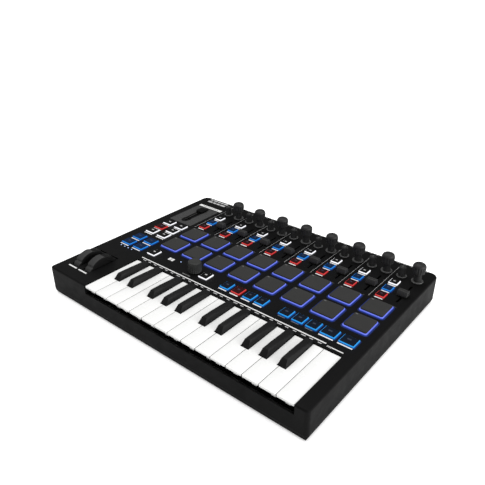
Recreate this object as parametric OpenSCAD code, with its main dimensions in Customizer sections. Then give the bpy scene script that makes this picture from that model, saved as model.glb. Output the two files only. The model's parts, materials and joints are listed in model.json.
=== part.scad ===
// Desktop music controller: 25 small keys, 16 pads, eight channel strips and two wheels.
// Origin: centre of the footprint, on the desk. X runs along the keys, Y to the back, Z up.

/* [Case] */
// Width of the case, along the keys
body_w = 351; // [349:0.5:355]
// Depth of the case, front to back
body_d = 263.5; // [262.5:0.5:268]
// Height of the case without its feet
case_h = 33.5; // [32.5:0.5:35]
// Thickness of the moulded walls
wall = 2.5; // [2.3:0.1:2.7]
// Radius of the upright corners at the back
corner_r = 8.5; // [7:0.5:12]
// Radius of the upright corners at the front
front_corner_r = 4; // [4:0.5:8]
// Radius of the edge round the top
edge_r = 2; // [1.5:0.25:3.5]
// Inward taper of the case below the seam
skirt_in = 2; // [1:0.5:2.5]
// Height of the bottom cover's outer wall
skirt_h = 6; // [5:0.5:7]
// How far the feet stand out below the case
foot_h = 1; // [1:0.5:3]

/* [Keys] */
// Distance from one white key to the next
key_pitch = 18.15; // [18.1:0.05:18.2]
// Gap between neighbouring keys
key_gap = 0.5; // [0.4:0.1:0.8]
// Length of a white key in front of the deck
white_len = 73.3; // [73:0.1:73.8]
// Thickness of a white key's top
white_t = 2; // [1.6:0.2:2.4]
// Width of a black key at its foot
black_w = 8.7; // [8.4:0.1:9.2]
// Height of a black key above the white keys
black_h = 6.5; // [5:0.5:8]
// Distance from the front of the white keys to the black keys
black_start = 29.7; // [28:0.1:32]
// How far the deck stands above the white keys
deck_step = 1; // [0.5:0.25:1.5]

/* [Pads] */
// Side of one square pad
pad_size = 26; // [24:0.5:26.5]
// Height of a pad above the deck
pad_h = 3; // [2:0.5:4]
// Distance from one pad or channel to the next
channel_pitch = 36; // [35.9:0.05:36.1]
// Distance between the two rows of pads
pad_row_pitch = 33.3; // [33:0.1:33.6]

/* [Buttons] */
// Height of the buttons above the deck
button_h = 2; // [1.5:0.25:3]
// Side of a channel button
channel_button = 10.2; // [9:0.2:10.6]
// Distance between two buttons of a channel
button_pitch = 15.5; // [15:0.1:16]
// Travel of pads and buttons
press_travel = 1; // [0.5:0.1:1]

/* [Knobs] */
// Largest diameter of a tall knob
tall_knob_d = 14.5; // [13:0.5:16]
// Height of a tall knob above the deck
tall_knob_h = 23.2; // [18:0.2:26]
// Diameter of a small knob
small_knob_d = 11.3; // [9.5:0.1:11.5]
// Height of a small knob above the deck
small_knob_h = 12.6; // [10:0.2:14]
// Diameter of the encoder knob
encoder_d = 16; // [13:0.5:17]
// Height of the encoder knob above the deck
encoder_h = 13; // [10:0.5:15]

/* [Faders] */
// Width of a channel fader cap
cap_w = 11; // [8:0.5:11.5]
// Depth of a channel fader cap
cap_d = 8; // [6:0.5:10]
// Height of a fader cap's top above the deck
cap_h = 7; // [6:0.5:9]
// Length of a channel fader's slot
slot_len = 38; // [36:1:40]

/* [Wheels] */
// Diameter of the pitch and modulation wheels
wheel_d = 44; // [42:1:45]
// Width of each wheel
wheel_w = 10.5; // [9:0.5:11]

/* [Hidden] */
fine = 64;
small_fine = 32;

// ---- key layout ----
white_count = 15;
black_count = 10;
keys_w = white_count * key_pitch;
// Left side of the first white key
first_key_u = -2.65;
keys_mid = first_key_u + keys_w / 2;
// White keys that have a black key on their right, within one octave
sharps = [0, 1, 3, 4, 5];
// Sideways offset of each of those black keys from the joint between its white keys
sharp_shift = [-1.3, 1.6, -2.4, 0, 2.3];

// ---- heights above the desk ----
base_z = foot_h;
seam_z = base_z + skirt_h;
deck_z = base_z + case_h;
roof_z = deck_z - wall;
floor_z = base_z + wall;
key_z = deck_z - deck_step;
rail_z = key_z - 9.8;
board_t = 1.6;
board_top = roof_z - 5.9;
board_under = board_top - board_t;
frame_top = 15;
frame_t = 2;
ledge_z = 19.1;
dome_h = 4.2;
pivot_z = key_z - 13.5;
wheel_rise = 10;
wheel_z = deck_z + wheel_rise - wheel_d / 2;
wheel_slot = 2 * sqrt(pow(wheel_d / 2, 2) - pow(roof_z - wheel_z, 2)) + 1.3;

// ---- distances back (v), from a line just in front of the case ----
front_v = 1.2;
back_v = front_v + body_d;
key_front = 1.7;
pivot_v = 92.5;
deck_edge = key_front + white_len + 1;
wheel_v = 41.5;
row_v = 97.6;
pad_v = 127.4;
red_v = 187;
knob_v = 235.5;
slot_v = 203.5;
fader_v = 199.5;
plate_v = 204.3;
plate_slot_v = 206.8;
plate_fader_v = 219.5;
plate_dish_v = 190;
dome_v = 51;
frame_front = 7.5;
frame_back = 99.5;
board_front = 84;
board_back = 250;

// ---- distances along the keys (u), from the first column of channel buttons ----
datum_u = 67.5;
pad_u = 7.5;
column_u = 18;
plate_u = -35.4;
encoder_u = 68;
wheel_u = [-47.7, -26.8];
board_left = -54;
board_right = 272;
usb_u = 205;
jack_u = 168;

// ---- fits and small sizes ----
shaft_r = 1.5;
stem_r = 3;
axle_r = 2;
running_gap = 0.05;
hole_gap = 0.3;
flange_in = 0.8;
flange_z = roof_z - 1.7;
flange_t = 1;
nub_z = board_top + press_travel + 0.3;
knob_gap = 0.4;
plate_w = 38.4;
plate_d = 55.5;
plate_slot = 43.5;
plate_slot_w = 4;
plate_dish_r = 6;
plate_recess = 0.9;
arm_w = 5;
screw_r = 1.4;
small_screw_r = 1.1;
boss_r = 3.5;
post_r = 2.2;
// Places of the case screws, as [along the keys, back from the front]
right_screw_u = body_w - 73;
case_screws = [
    [-59, 9], [-59, 80], [-59, 254], [60, 254],
    [130, 254], [right_screw_u, 254], [right_screw_u, 112], [right_screw_u, 9]
];
board_posts = [for (i = [1, 4, 7], v = [109.2, 228]) [i * channel_pitch - 10.5, v]];
frame_screws = [for (u = [27, 99, 171, 243]) [u, 25]];
foot_places = [for (x = [-1, 1], y = [-1, 1]) [x * (body_w / 2 - 30), y * (body_d / 2 - 28)]];
// Frame ribs that carry the key shaft, between the key arms
rib_t = 1.4;
rib_u = [
    for (u = [-1.4, 3 * key_pitch - 0.3, 7 * key_pitch, 10 * key_pitch - 0.3, 14 * key_pitch, keys_w + 1.4])
        first_key_u + u
];
// Deck buttons: [along the keys, back from the front, width, depth]
deck_pair = [-43.4, -22.6];
deck_buttons = concat(
    [for (u = deck_pair, v = [136, 151.2, 166.4]) [u, v, 13.8, 11.8]],
    [for (u = deck_pair, v = [row_v, row_v + 17]) [u, v, 14.6, 12]],
    [for (u = [2, 85.7]) [u, row_v, 12, 12.8]],
    [for (i = [0:3]) [117 + 15.6 * i, row_v, 11.4, 12.8]],
    [for (i = [0:2]) [194.4 + 16 * i, row_v, 12.4, 12.8]],
    [for (u = [244.3, 264.4]) [u, row_v, 16, 12.8]]);

// Left edge of channel strip number i, measured to its button column
function channel_u(i) = i * channel_pitch;

// Middle of black key number n (from 0)
function black_u(n) =
    first_key_u + (floor(n / 5) * 7 + sharps[n % 5] + 1) * key_pitch + sharp_shift[n % 5];

// Sides of the wide front part of white key i
function white_left(i) = first_key_u + i * key_pitch + key_gap / 2;
function white_right(i) = first_key_u + (i + 1) * key_pitch - key_gap / 2;

// Number of the black key to the right of white key i, or -1 where there is none
function sharp_after(i) =
    let (hit = search(i % 7, sharps))
    (len(hit) > 0 && i < white_count - 1) ? floor(i / 7) * 5 + hit[0] : -1;

// Sides of the narrow back part of white key i
function tail_left(i) =
    (i > 0 && sharp_after(i - 1) >= 0)
        ? black_u(sharp_after(i - 1)) + black_w / 2 + key_gap
        : white_left(i);
function tail_right(i) =
    sharp_after(i) >= 0
        ? black_u(sharp_after(i)) - black_w / 2 - key_gap
        : white_right(i);

// Puts children at a place on the deck: u along the keys, v to the back
module at(u, v, z = 0) {
    translate([datum_u - body_w / 2 + u, v - front_v - body_d / 2, z]) children();
}

// A block with round upright corners: one radius for the front pair, one for the back pair
module rounded_block(w, d, h, front_r, back_r) {
    linear_extrude(h) {
        translate([-w / 2 + front_r, -d / 2]) square([w - 2 * front_r, d / 2]);
        translate([-w / 2, -d / 2 + front_r]) square([w, d - front_r - back_r]);
        translate([-w / 2 + back_r, 0]) square([w - 2 * back_r, d / 2]);
        for (x = [-1, 1]) {
            translate([x * (w / 2 - front_r), front_r - d / 2]) circle(front_r, $fn = fine);
            translate([x * (w / 2 - back_r), d / 2 - back_r]) circle(back_r, $fn = fine);
        }
    }
}

// The case's outline, moved inwards, as a block
module case_layer(inset, h) {
    rounded_block(body_w - 2 * inset, body_d - 2 * inset, h,
        max(front_corner_r - inset, 0.8), max(corner_r - inset, 0.8));
}

// A centred box that stands on its own base
module block(w, d, h) {
    translate([-w / 2, -d / 2, 0]) cube([w, d, h]);
}

// Half of a bar of the given width whose outer top edge is round, lying along Y
module edge_bar(w, length) {
    rotate([90, 0, 0]) translate([0, 0, -length / 2]) linear_extrude(length) {
        square([w / 2 - edge_r, edge_r]);
        intersection() {
            square([w / 2, edge_r]);
            translate([w / 2 - edge_r, 0]) circle(edge_r, $fn = fine);
        }
    }
}

// Round cap of an upright corner
module corner_cap(r) {
    rotate_extrude($fn = fine) {
        square([r - edge_r, edge_r]);
        intersection() {
            translate([r - edge_r, 0]) circle(edge_r, $fn = fine);
            square([r, edge_r]);
        }
    }
}

// The upper shell's outside: upright walls, round corners and a round edge along the top
module case_shell(h) {
    case_layer(0, h - edge_r);
    translate([0, 0, h - edge_r]) {
        rotate([0, 0, -90]) edge_bar(body_d, body_w - 2 * front_corner_r);
        rotate([0, 0, 90]) edge_bar(body_d, body_w - 2 * corner_r);
        for (a = [0, 180]) {
            translate([0, (front_corner_r - corner_r) / 2, 0]) rotate([0, 0, a])
                edge_bar(body_w, body_d - front_corner_r - corner_r);
        }
        for (x = [-1, 1]) {
            translate([x * (body_w / 2 - front_corner_r), front_corner_r - body_d / 2, 0])
                corner_cap(front_corner_r);
            translate([x * (body_w / 2 - corner_r), body_d / 2 - corner_r, 0]) corner_cap(corner_r);
        }
    }
}

// ---- openings in the deck ----
module deck_openings() {
    deep = wall + 2;
    z = roof_z - 1;
    for (i = [0:7]) {
        for (row = [0, 1]) {
            at(pad_u + channel_u(i), pad_v + row * pad_row_pitch, z)
                block(pad_size + 2 * hole_gap, pad_size + 2 * hole_gap, deep);
        }
        for (n = [0:2]) {
            at(channel_u(i), red_v + n * button_pitch, z)
                block(channel_button + 2 * hole_gap, channel_button + 2 * hole_gap, deep);
        }
        for (u = [0, column_u]) {
            at(channel_u(i) + u, knob_v, z) cylinder(h = deep, r = stem_r + hole_gap, $fn = fine);
        }
        at(channel_u(i) + column_u, slot_v, z) block(2.4, slot_len, deep);
    }
    for (b = deck_buttons) {
        at(b[0], b[1], z) block(b[2] + 2 * hole_gap, b[3] + 2 * hole_gap, deep);
    }
    for (u = wheel_u) {
        at(u, wheel_v, z) block(wheel_w + 2, wheel_slot, deep);
    }
    at(encoder_u, row_v + 0.9, z) cylinder(h = deep, r = stem_r + hole_gap, $fn = fine);
    at(plate_u, plate_slot_v, z) block(plate_slot_w + 0.6, plate_slot + 1, deep);
    at(plate_u, plate_v, deck_z - plate_recess) rounded_block(plate_w + 0.2, plate_d + 0.2, 2, 1.5, 1.5);
}

module key_opening() {
    at(keys_mid, deck_edge / 2 - 2, rail_z) block(keys_w + 1.2, deck_edge + 4, case_h);
}

module socket_openings() {
    at(usb_u, back_v, board_under - 3.7) block(9.6, 10, 4.1);
    at(jack_u, back_v, board_top - 8) rotate([90, 0, 0])
        translate([0, 0, -5]) cylinder(h = 10, r = 5.6, $fn = fine);
}

module top_cover() {
    color([0.12, 0.12, 0.12]) difference() {
        union() {
            difference() {
                translate([0, 0, seam_z]) case_shell(case_h - skirt_h);
                translate([0, 0, seam_z - 1]) case_layer(wall, roof_z - seam_z + 1);
            }
            // walls round the key opening
            for (side = [-1, 1]) {
                at(keys_mid + side * (keys_w / 2 + 1.6), (deck_edge + front_v + 1) / 2, rail_z)
                    block(2, deck_edge - front_v - 1, roof_z - rail_z + 1);
            }
            at(keys_mid, deck_edge + 1.5, roof_z - 5) block(keys_w + 5.2, 1.6, 6);
            for (p = case_screws) {
                at(p[0], p[1], floor_z) cylinder(h = roof_z - floor_z + 1, r = boss_r, $fn = small_fine);
            }
            for (p = board_posts) {
                at(p[0], p[1], board_top)
                    cylinder(h = roof_z - board_top + 1, r = post_r, $fn = small_fine);
            }
        }
        key_opening();
        deck_openings();
        socket_openings();
        for (p = case_screws) {
            at(p[0], p[1], floor_z - 1) cylinder(h = 15, r = screw_r, $fn = small_fine);
        }
        for (p = board_posts) {
            at(p[0], p[1], board_top - 1) cylinder(h = 6, r = small_screw_r, $fn = small_fine);
        }
    }
}

// A bar across the case with both lower edges cut at a slope
module tapered_bar(w, h, length, inset) {
    rotate([90, 0, 0]) translate([0, 0, -length / 2]) linear_extrude(length)
        polygon([[-w / 2 + inset, 0], [w / 2 - inset, 0], [w / 2, h], [-w / 2, h]]);
}

module bottom_cover() {
    color([0.1, 0.1, 0.1]) difference() {
        union() {
            difference() {
                translate([0, 0, base_z]) intersection() {
                    case_layer(0, skirt_h);
                    tapered_bar(body_w, skirt_h, body_d, skirt_in);
                    rotate([0, 0, 90]) tapered_bar(body_d, skirt_h, body_w, skirt_in);
                }
                translate([0, 0, floor_z]) case_layer(2 * wall, skirt_h);
            }
            // lip that locates inside the top cover
            translate([0, 0, floor_z]) difference() {
                case_layer(wall + 0.2, skirt_h);
                translate([0, 0, -1]) case_layer(2 * wall, skirt_h + 2);
            }
            for (p = frame_screws) {
                at(p[0], p[1], floor_z - 0.5)
                    cylinder(h = frame_top - frame_t - floor_z + 0.5, r = 3, $fn = small_fine);
            }
        }
        for (p = case_screws) {
            at(p[0], p[1], base_z - 1) cylinder(h = 20, r = screw_r + 0.3, $fn = small_fine);
            at(p[0], p[1], base_z - 1) cylinder(h = 2.2, r = 3, $fn = small_fine);
            at(p[0], p[1], floor_z) cylinder(h = 20, r = boss_r + 0.3, $fn = small_fine);
        }
        for (p = frame_screws) {
            at(p[0], p[1], floor_z + 1) cylinder(h = 20, r = screw_r, $fn = small_fine);
        }
        for (p = foot_places) {
            translate([p[0], p[1], base_z - 1]) cylinder(h = 2, r = 7.2, $fn = fine);
        }
    }
}

module key_frame() {
    shelf_d = frame_back - frame_front;
    middle = (frame_front + frame_back) / 2;
    color([0.3, 0.3, 0.32]) difference() {
        union() {
            at(keys_mid, middle, frame_top - frame_t) block(keys_w + 4.2, shelf_d, frame_t);
            for (v = [frame_front + 1, frame_back - 1]) {
                at(keys_mid, v, floor_z) block(keys_w + 4.2, 2, frame_top - floor_z);
            }
            // ledge that stops the keys at the end of their travel
            at(keys_mid, frame_front + 3, frame_top - 1) block(keys_w, 4, ledge_z - frame_top + 1);
            for (u = rib_u) {
                at(u, pivot_v, frame_top - 1) block(rib_t, 9, pivot_z - frame_top + 4);
            }
        }
        at(first_key_u - 5, pivot_v, pivot_z) rotate([0, 90, 0])
            cylinder(h = keys_w + 10, r = shaft_r, $fn = small_fine);
        for (p = frame_screws) {
            at(p[0], p[1], frame_top - frame_t - 1) cylinder(h = 5, r = screw_r + 0.2, $fn = small_fine);
        }
    }
}

module key_shaft() {
    color("silver") at(first_key_u - 2.1, pivot_v, pivot_z) rotate([0, 90, 0])
        cylinder(h = keys_w + 4.2, r = shaft_r, $fn = small_fine);
}

// Middle of the arm that carries white key i on the shaft
function arm_u(i) = (tail_left(i) + tail_right(i)) / 2;

// Rubber dome that pushes a key back up
module dome() {
    translate([0, 0, -0.2]) cylinder(h = dome_h + 0.2, r1 = 3.2, r2 = 2, $fn = small_fine);
}

module contact_strip() {
    strip_z = frame_top + board_t;
    color([0.75, 0.75, 0.7]) {
        at(keys_mid, dome_v, strip_z) block(keys_w - 2, 12, 1);
        for (i = [0:white_count - 1]) at(arm_u(i), dome_v, strip_z + 1) dome();
        for (n = [0:black_count - 1]) at(black_u(n), dome_v, strip_z + 1) dome();
    }
}

module circuit_boards() {
    // main board under the deck
    color([0.05, 0.3, 0.15]) difference() {
        at((board_left + board_right) / 2, (board_front + board_back) / 2, board_under)
            block(board_right - board_left, board_back - board_front, board_t);
        for (p = board_posts) {
            at(p[0], p[1], board_top - 3) cylinder(h = 6, r = small_screw_r + 0.2, $fn = small_fine);
        }
    }
    // key board on the frame
    color([0.05, 0.3, 0.15]) at(keys_mid, dome_v, frame_top) block(keys_w, 18, board_t);
    // processor and memory
    color([0.1, 0.1, 0.1]) at(120, 200, board_under - 1.4) block(14, 14, 1.4);
    color([0.1, 0.1, 0.1]) at(145, 200, board_under - 1.2) block(6, 8, 1.2);
    // USB socket
    color("silver") difference() {
        at(usb_u, back_v - 8.2, board_under - 3.3) block(9, 16, 3.3);
        at(usb_u, back_v - 4, board_under - 2.8) block(8, 9, 2.3);
    }
    // pedal socket
    color([0.15, 0.15, 0.15]) difference() {
        union() {
            at(jack_u, back_v - 15, board_under - 12.8) block(13, 24, 12.8);
            at(jack_u, back_v - 4, board_top - 8) rotate([90, 0, 0])
                translate([0, 0, -3.5]) cylinder(h = 7, r = 5.4, $fn = fine);
        }
        at(jack_u, back_v + 2, board_top - 8) rotate([90, 0, 0])
            cylinder(h = 20, r = 3.3, $fn = fine);
    }
}

// Body of a rotary pot, with the running hole for its shaft
module pot_body(side) {
    difference() {
        block(side, side, roof_z - board_top - 0.3);
        translate([0, 0, -1]) cylinder(h = 9, r = stem_r + running_gap, $fn = fine);
    }
}

// Body of a slide pot, with the groove its lever runs in
module slide_body(length) {
    difference() {
        block(7, length + 6, 4.6);
        translate([0, 0, 1.2]) block(2.6, length, 5);
    }
}

module control_pots() {
    color([0.55, 0.57, 0.6]) {
        for (i = [0:7], u = [0, column_u]) {
            at(channel_u(i) + u, knob_v, board_top) pot_body(9.6);
        }
        at(encoder_u, row_v + 0.9, board_top) pot_body(12);
        for (i = [0:7]) {
            at(channel_u(i) + column_u, slot_v, board_top) slide_body(slot_len);
        }
        at(plate_u, plate_slot_v, board_top) slide_body(plate_slot);
    }
}

module wheel_bracket() {
    middle = (wheel_u[0] + wheel_u[1]) / 2;
    span = wheel_u[1] - wheel_u[0];
    color([0.3, 0.3, 0.32]) difference() {
        union() {
            at(middle, wheel_v, floor_z) block(span + 18, 30, 2);
            for (u = [wheel_u[0] - 7.6, middle, wheel_u[1] + 7.6]) {
                at(u, wheel_v, floor_z) block(2, 16, wheel_z + 3 - floor_z);
            }
        }
        at(wheel_u[0] - 12, wheel_v, wheel_z) rotate([0, 90, 0])
            cylinder(h = 60, r = axle_r, $fn = small_fine);
    }
    color("silver") at(wheel_u[0] - 8.6, wheel_v, wheel_z) rotate([0, 90, 0])
        cylinder(h = span + 17.2, r = axle_r, $fn = small_fine);
}

module fader_plate() {
    color([0.32, 0.32, 0.33]) difference() {
        at(plate_u, plate_v, deck_z - plate_recess)
            rounded_block(plate_w, plate_d, plate_recess + 0.3, 1.4, 1.4);
        at(plate_u, plate_slot_v, deck_z - 2) block(plate_slot_w, plate_slot, 4);
        // dished pad at the front end of the slot
        at(plate_u, plate_dish_v, deck_z - 0.5) cylinder(h = 3, r = plate_dish_r, $fn = fine);
    }
}

module pan_screw(r, length, head_r, head_h) {
    cylinder(h = length, r = r, $fn = small_fine);
    translate([0, 0, -head_h]) difference() {
        cylinder(h = head_h, r = head_r, $fn = small_fine);
        for (a = [0, 90]) rotate([0, 0, a]) translate([0, 0, -1]) block(0.8, head_r * 1.2, 1.8);
    }
}

module screws() {
    color([0.2, 0.2, 0.2]) {
        for (p = case_screws) at(p[0], p[1], base_z + 1.2) pan_screw(screw_r, 12, 2.7, 1.1);
        for (p = board_posts) at(p[0], p[1], board_under) pan_screw(small_screw_r, 5, 2.2, 1.2);
        for (p = frame_screws) {
            at(p[0], p[1], frame_top) rotate([180, 0, 0]) pan_screw(screw_r, 8, 2.7, 1.1);
        }
    }
}

module feet() {
    color([0.15, 0.15, 0.15]) for (p = foot_places) {
        translate([p[0], p[1], 0]) cylinder(h = base_z + 1, r1 = 6.4, r2 = 7, $fn = fine);
    }
}

// Side outline of the rib under a key, from its front end to behind the shaft
module key_rib(front, top, w) {
    v0 = key_front + front;
    rotate([90, 0, 90]) translate([0, 0, -w / 2]) linear_extrude(w) difference() {
        polygon([
            [v0, key_z - top], [v0, key_z - 9], [key_front + 60, key_z - 9],
            [key_front + 72, pivot_z - 2.6], [pivot_v + 4, pivot_z - 2.6],
            [pivot_v + 4, pivot_z + 2.6], [deck_edge + 1, pivot_z + 2.6],
            [key_front + white_len, pivot_z + 6], [key_front + white_len, key_z - top]
        ]);
        translate([pivot_v, pivot_z]) circle(shaft_r + running_gap, $fn = small_fine);
    }
}

// White key number i (from 0): wide front, narrow tail beside the black keys
module white_key(i) {
    left = white_left(i);
    right = white_right(i);
    r = 1.2;
    split = key_front + black_start - key_gap;
    back = key_front + white_len;
    color([0.95, 0.95, 0.93]) at(0, 0) {
        translate([0, 0, key_z - white_t]) linear_extrude(white_t) {
            translate([left + r, key_front]) square([right - left - 2 * r, r]);
            translate([left, key_front + r]) square([right - left, split - key_front - r]);
            for (x = [left + r, right - r]) translate([x, key_front + r]) circle(r, $fn = small_fine);
            translate([tail_left(i), key_front + r])
                square([tail_right(i) - tail_left(i), back - key_front - r]);
        }
        translate([arm_u(i), 0, 0]) key_rib(5, white_t, arm_w);
    }
}

// Black key number n (from 0): sloping front, leaning sides and a top that falls to the back
module black_key(n) {
    v0 = key_front + black_start;
    back = key_front + white_len;
    foot = key_z - 3;
    top = key_z + black_h;
    color([0.16, 0.16, 0.16]) at(black_u(n), 0) {
        intersection() {
            rotate([90, 0, 90]) translate([0, 0, -black_w]) linear_extrude(2 * black_w)
                polygon([[v0, foot], [v0, key_z], [v0 + 4.3, top - 0.8], [v0 + 5.5, top],
                    [back, top - 2.5], [back, foot]]);
            rotate([90, 0, 0]) translate([0, 0, -back]) linear_extrude(back)
                polygon([[-black_w / 2, foot], [-black_w / 2, key_z], [-black_w / 2 + 1.3, top - 0.8],
                    [-black_w / 2 + 2, top], [black_w / 2 - 2, top], [black_w / 2 - 1.3, top - 0.8],
                    [black_w / 2, key_z], [black_w / 2, foot]]);
        }
        key_rib(black_start + 2, 3, arm_w);
    }
}

// Shaft that a knob turns on, from inside its cap down into the pot
module knob_stem(h) {
    translate([0, 0, board_top + 0.3]) cylinder(h = h, r = stem_r, $fn = fine);
}

module tall_knob(i) {
    z = deck_z + knob_gap;
    r = tall_knob_d / 2;
    h = tall_knob_h - knob_gap;
    color([0.1, 0.1, 0.1]) at(channel_u(i) + column_u, knob_v) {
        difference() {
            translate([0, 0, z]) rotate_extrude($fn = fine) polygon([
                [0, 0], [r - 1, 0], [r - 1, 1.2], [r - 4.1, 2], [r - 4.1, h * 0.46],
                [r - 1.2, h * 0.5], [r - 0.4, h * 0.62], [r, h * 0.78], [r - 0.4, h * 0.87],
                [r - 1.4, h * 0.94], [r - 3, h * 0.985], [0, h]]);
            translate([0, r - 1, z + h - 1]) block(0.9, 8, 3);
        }
        knob_stem(z - board_top);
    }
}

module small_knob(i) {
    z = deck_z + knob_gap;
    r = small_knob_d / 2;
    h = small_knob_h - knob_gap;
    color([0.1, 0.1, 0.1]) at(channel_u(i), knob_v) {
        difference() {
            translate([0, 0, z]) rotate_extrude($fn = fine) polygon([
                [0, 0], [r, 0], [r, 1], [r - 1.5, 1.8], [r - 1.9, h - 1], [r - 2.7, h], [0, h]]);
            translate([0, r - 1.5, z + h - 1]) block(0.9, 6, 3);
        }
        knob_stem(z - board_top);
    }
}

module encoder_knob() {
    z = deck_z + knob_gap;
    r = encoder_d / 2;
    h = encoder_h - knob_gap;
    color([0.15, 0.15, 0.15]) at(encoder_u, row_v + 0.9) {
        translate([0, 0, z]) rotate_extrude($fn = fine) polygon([
            [0, 0], [r - 0.4, 0], [r, 0.6], [r - 0.3, h - 1.2], [r - 1.5, h], [0, h]]);
        knob_stem(z - board_top);
    }
}

// Pitch or modulation wheel at distance u: a sector with two grooves and a finger dish behind its top
module thumb_wheel(u) {
    r = wheel_d / 2;
    dish_r = 9;
    color([0.2, 0.2, 0.2]) at(u - wheel_w / 2, wheel_v, wheel_z) rotate([0, 90, 0]) difference() {
        rotate_extrude($fn = 96) difference() {
            polygon([[axle_r + running_gap, 0], [r - 0.8, 0], [r, 0.8], [r, wheel_w - 0.8],
                [r - 0.8, wheel_w], [axle_r + running_gap, wheel_w]]);
            for (z = [-1, wheel_w - 1.5]) translate([7, z]) square([r - 12, 2.5]);
        }
        translate([5, -wheel_d, -1]) cube([wheel_d, 2 * wheel_d, wheel_w + 2]);
        for (a = [-45.5, 45.5]) {
            rotate([0, 0, 180 + a]) translate([r + 0.2, 0, -1])
                cylinder(h = wheel_w + 2, r = 1.6, $fn = small_fine);
        }
        rotate([0, 0, 166]) translate([r + dish_r - 1.2, 0, -1])
            cylinder(h = wheel_w + 2, r = dish_r, $fn = fine);
    }
}

// Cap of a slide fader with its lever, centred on the slot
module fader_cap(w, d) {
    z = deck_z + 1.2;
    color([0.3, 0.3, 0.3]) {
        difference() {
            translate([0, 0, z]) intersection() {
                block(w, d, cap_h - 1.2);
                rotate([90, 0, 90]) translate([0, 0, -w / 2]) linear_extrude(w) polygon([
                    [-d / 2, 0], [d / 2, 0], [d / 2, 2], [d / 2 - 1.6, cap_h - 1.2],
                    [-d / 2 + 1.6, cap_h - 1.2], [-d / 2, 2]]);
            }
            translate([0, 0, deck_z + cap_h - 0.6]) block(w + 1, 1.2, 2);
        }
        translate([0, 0, board_top + 2]) block(1.4, 5, z - board_top - 1);
    }
}

module channel_faders() {
    for (i = [0:7]) at(channel_u(i) + column_u, fader_v) fader_cap(cap_w, cap_d);
}

// Low cap of the plate's own slider
module plate_fader() {
    color([0.12, 0.12, 0.12]) at(plate_u, plate_fader_v) {
        translate([0, 0, deck_z + 0.7]) rounded_block(11.6, 13, 2.5, 3, 3);
        translate([0, 0, board_top + 2]) block(1.4, 5, deck_z - board_top - 0.8);
    }
}

// A pad or button: a square cap above the deck, a flange under it and a nub over its switch
module press_cap(w, d, h, r) {
    translate([0, 0, flange_z]) rounded_block(w, d, deck_z + h - flange_z, r, r);
    translate([0, 0, flange_z]) block(w + 2 * flange_in, d + 2 * flange_in, flange_t);
    translate([0, 0, nub_z]) block(min(w, d) / 2, min(w, d) / 2, flange_z - nub_z + 0.5);
}

module pads() {
    color([0.24, 0.24, 0.23]) for (i = [0:7], row = [0, 1]) {
        at(pad_u + channel_u(i), pad_v + row * pad_row_pitch) press_cap(pad_size, pad_size, pad_h, 1.2);
    }
}

module channel_buttons() {
    row_colors = [[0.8, 0.15, 0.15], [0.1, 0.4, 0.9], [0.9, 0.9, 0.95]];
    for (i = [0:7], n = [0:2]) color(row_colors[n]) {
        at(channel_u(i), red_v + n * button_pitch) press_cap(channel_button, channel_button, button_h, 0.8);
    }
}

module deck_buttons() {
    color([0.15, 0.3, 0.6]) for (b = deck_buttons) at(b[0], b[1]) press_cap(b[2], b[3], button_h, 0.8);
}

top_cover();
bottom_cover();
key_frame();
key_shaft();
contact_strip();
circuit_boards();
control_pots();
wheel_bracket();
fader_plate();
screws();
feet();
for (i = [0:white_count - 1]) white_key(i);
for (n = [0:black_count - 1]) black_key(n);
for (i = [0:7]) tall_knob(i);
for (i = [0:7]) small_knob(i);
encoder_knob();
thumb_wheel(wheel_u[0]);  // pitch_wheel
thumb_wheel(wheel_u[1]);  // mod_wheel
channel_faders();
plate_fader();
pads();
channel_buttons();
deck_buttons();
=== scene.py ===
import json
import math

import bmesh
import bpy
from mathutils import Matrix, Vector


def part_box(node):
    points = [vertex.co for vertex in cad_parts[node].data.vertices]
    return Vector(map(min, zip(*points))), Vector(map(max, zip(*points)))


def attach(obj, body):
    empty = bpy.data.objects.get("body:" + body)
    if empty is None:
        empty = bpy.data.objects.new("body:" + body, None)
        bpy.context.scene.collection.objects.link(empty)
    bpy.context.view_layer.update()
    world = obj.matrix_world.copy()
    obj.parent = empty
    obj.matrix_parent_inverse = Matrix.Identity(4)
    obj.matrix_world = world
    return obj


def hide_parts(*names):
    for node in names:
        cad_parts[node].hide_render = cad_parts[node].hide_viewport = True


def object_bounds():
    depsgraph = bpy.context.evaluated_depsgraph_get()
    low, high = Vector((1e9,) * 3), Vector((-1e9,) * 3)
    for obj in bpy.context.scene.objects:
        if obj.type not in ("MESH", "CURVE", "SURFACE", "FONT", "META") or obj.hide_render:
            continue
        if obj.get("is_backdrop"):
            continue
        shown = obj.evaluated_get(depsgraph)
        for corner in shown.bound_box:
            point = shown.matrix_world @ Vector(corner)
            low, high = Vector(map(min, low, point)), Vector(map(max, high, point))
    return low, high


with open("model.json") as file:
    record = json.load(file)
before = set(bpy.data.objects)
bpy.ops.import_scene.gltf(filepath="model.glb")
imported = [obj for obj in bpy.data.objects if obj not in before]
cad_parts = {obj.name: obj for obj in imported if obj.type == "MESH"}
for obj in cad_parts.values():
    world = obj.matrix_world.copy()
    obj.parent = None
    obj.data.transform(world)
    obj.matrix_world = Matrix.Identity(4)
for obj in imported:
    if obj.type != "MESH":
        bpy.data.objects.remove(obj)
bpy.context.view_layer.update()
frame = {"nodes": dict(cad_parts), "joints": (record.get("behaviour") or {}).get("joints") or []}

MM = 0.001  # all shapes below are in millimetres and are scaled to metres when they are published


# ---------------------------------------------------------------- places read from the frame

def box(node):
    """Lowest and highest corner of a CAD node, in millimetres."""
    low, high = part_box(node)
    return low / MM, high / MM


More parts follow.
